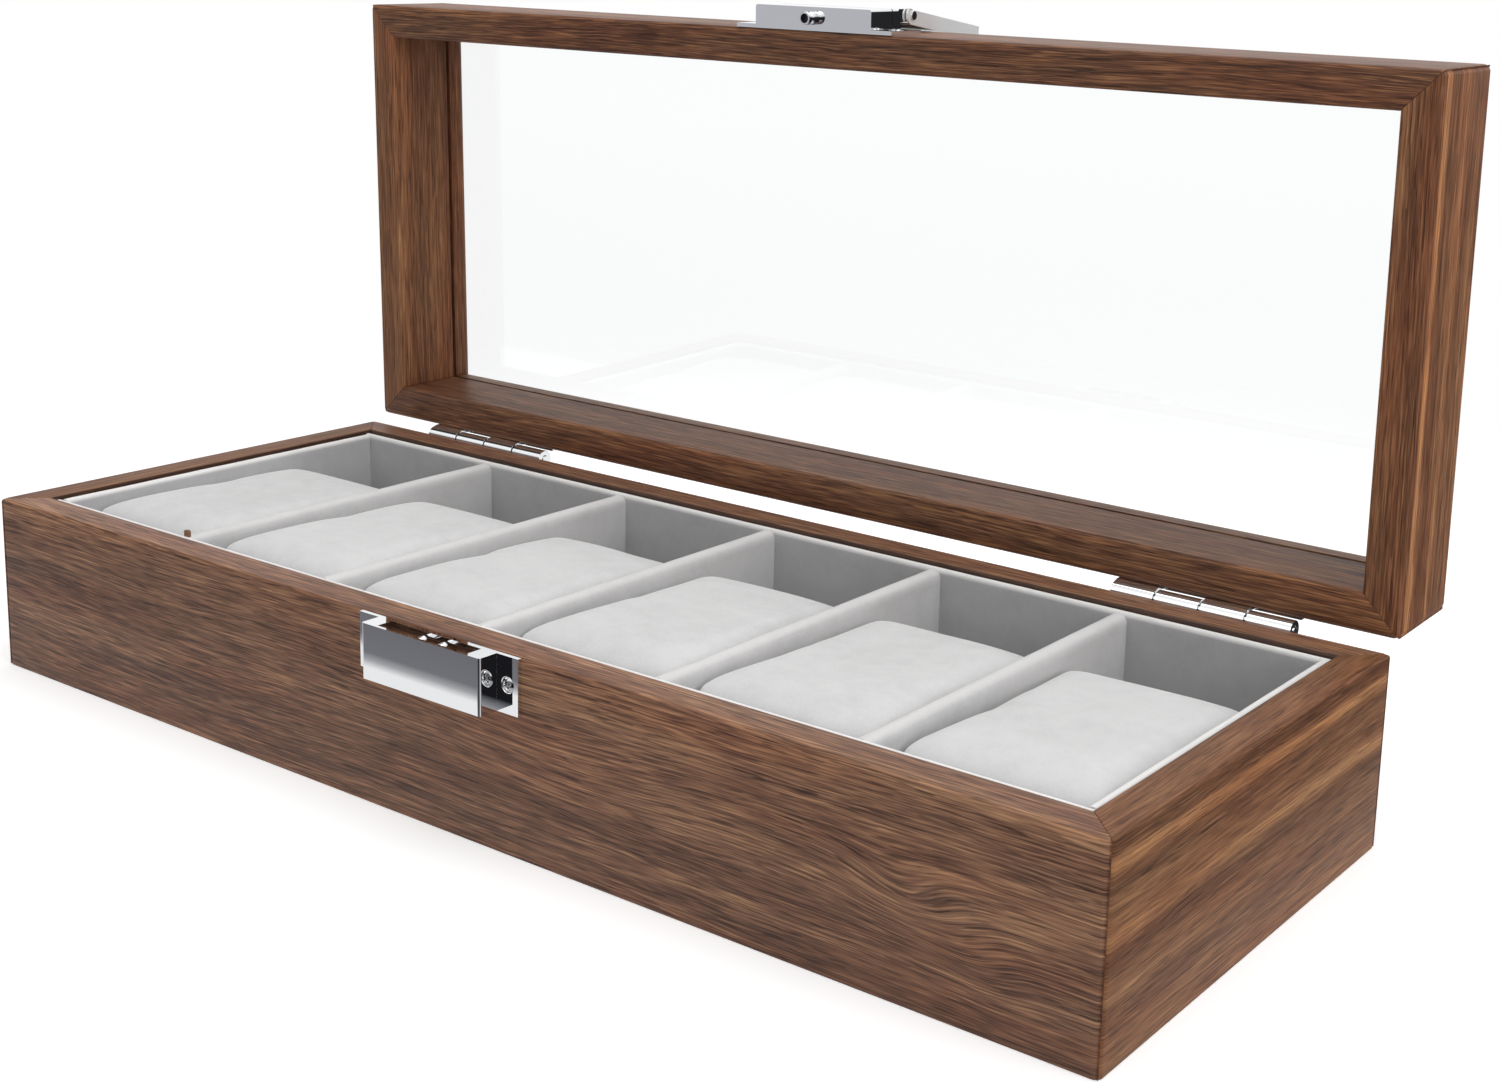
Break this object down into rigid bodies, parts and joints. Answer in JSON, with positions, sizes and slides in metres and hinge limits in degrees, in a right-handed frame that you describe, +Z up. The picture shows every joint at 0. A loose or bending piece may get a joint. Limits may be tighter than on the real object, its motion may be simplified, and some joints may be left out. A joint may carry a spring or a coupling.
{
  "type": "watch box",
  "caption": "Long display box for wristwatches: glazed lid on butt hinges, latch with a fold-over cover, velvet lining and lift-out pillows.",
  "frame": {"origin": "middle of the underside of the lower case, on the surface that the box stands on", "axes": "+X along the box to the right, -Y the front with the latch, +Y the hinge side, +Z up"},
  "size_m": [0.32, 0.1751, 0.173],
  "materials": {
    "walnut": "satin dark walnut veneer with fine pores",
    "bottom_board": "plain sanded board",
    "velvet_lining": "light grey short-pile velvet",
    "velvet_pillow": "light grey short-pile velvet",
    "glass": "clear float glass",
    "chrome": "polished chrome plate"
  },
  "bodies": {
    "base": {"base_front_board": "walnut", "base_back_board": "walnut", "base_left_board": "walnut", "base_right_board": "walnut", "bottom_panel": "bottom_board", "front_lining": "velvet_lining", "back_lining": "velvet_lining", "left_lining": "velvet_lining", "right_lining": "velvet_lining", "floor_lining": "velvet_lining", "divider_1": "velvet_lining", "divider_2": "velvet_lining", "divider_3": "velvet_lining", "divider_4": "velvet_lining", "divider_5": "velvet_lining", "hinge_left_base_leaf": "chrome", "hinge_left_pin": "chrome", "hinge_left_base_screws": "chrome", "hinge_right_base_leaf": "chrome", "hinge_right_pin": "chrome", "hinge_right_base_screws": "chrome", "keeper_housing": "chrome", "keeper_clip": "chrome", "keeper_screws": "chrome"},
    "lid": {"lid_front_rail": "walnut", "lid_back_rail": "walnut", "lid_left_rail": "walnut", "lid_right_rail": "walnut", "lid_glass": "glass", "hinge_left_lid_leaf": "chrome", "hinge_left_lid_screws": "chrome", "hinge_right_lid_leaf": "chrome", "hinge_right_lid_screws": "chrome", "latch_housing": "chrome", "latch_stud": "chrome", "latch_screws": "chrome", "cover_pin": "chrome"},
    "latch_cover": {"latch_cover": "chrome"},
    "pillow_1": {"pillow_1": "velvet_pillow"},
    "pillow_2": {"pillow_2": "velvet_pillow"},
    "pillow_3": {"pillow_3": "velvet_pillow"},
    "pillow_4": {"pillow_4": "velvet_pillow"},
    "pillow_5": {"pillow_5": "velvet_pillow"},
    "pillow_6": {"pillow_6": "velvet_pillow"}
  },
  "joints": [
    {"name": "lid_hinge", "type": "hinge", "parent": "base", "child": "lid", "pos_m": [0, 0.0632, 0.0432], "axis": [-1, 0, 0], "range_deg": [-89, 0]},
    {"name": "cover_hinge", "type": "hinge", "parent": "lid", "child": "latch_cover", "pos_m": [0, 0.07856, 0.17139], "axis": [1, 0, 0], "range_deg": [0, 189]},
    {"name": "pillow_1_lift", "type": "slide", "parent": "base", "child": "pillow_1", "axis": [0, 0, 1], "range_m": [0, 0.042]},
    {"name": "pillow_2_lift", "type": "slide", "parent": "base", "child": "pillow_2", "axis": [0, 0, 1], "range_m": [0, 0.042]},
    {"name": "pillow_3_lift", "type": "slide", "parent": "base", "child": "pillow_3", "axis": [0, 0, 1], "range_m": [0, 0.042]},
    {"name": "pillow_4_lift", "type": "slide", "parent": "base", "child": "pillow_4", "axis": [0, 0, 1], "range_m": [0, 0.042]},
    {"name": "pillow_5_lift", "type": "slide", "parent": "base", "child": "pillow_5", "axis": [0, 0, 1], "range_m": [0, 0.042]},
    {"name": "pillow_6_lift", "type": "slide", "parent": "base", "child": "pillow_6", "axis": [0, 0, 1], "range_m": [0, 0.042]}
  ]
}
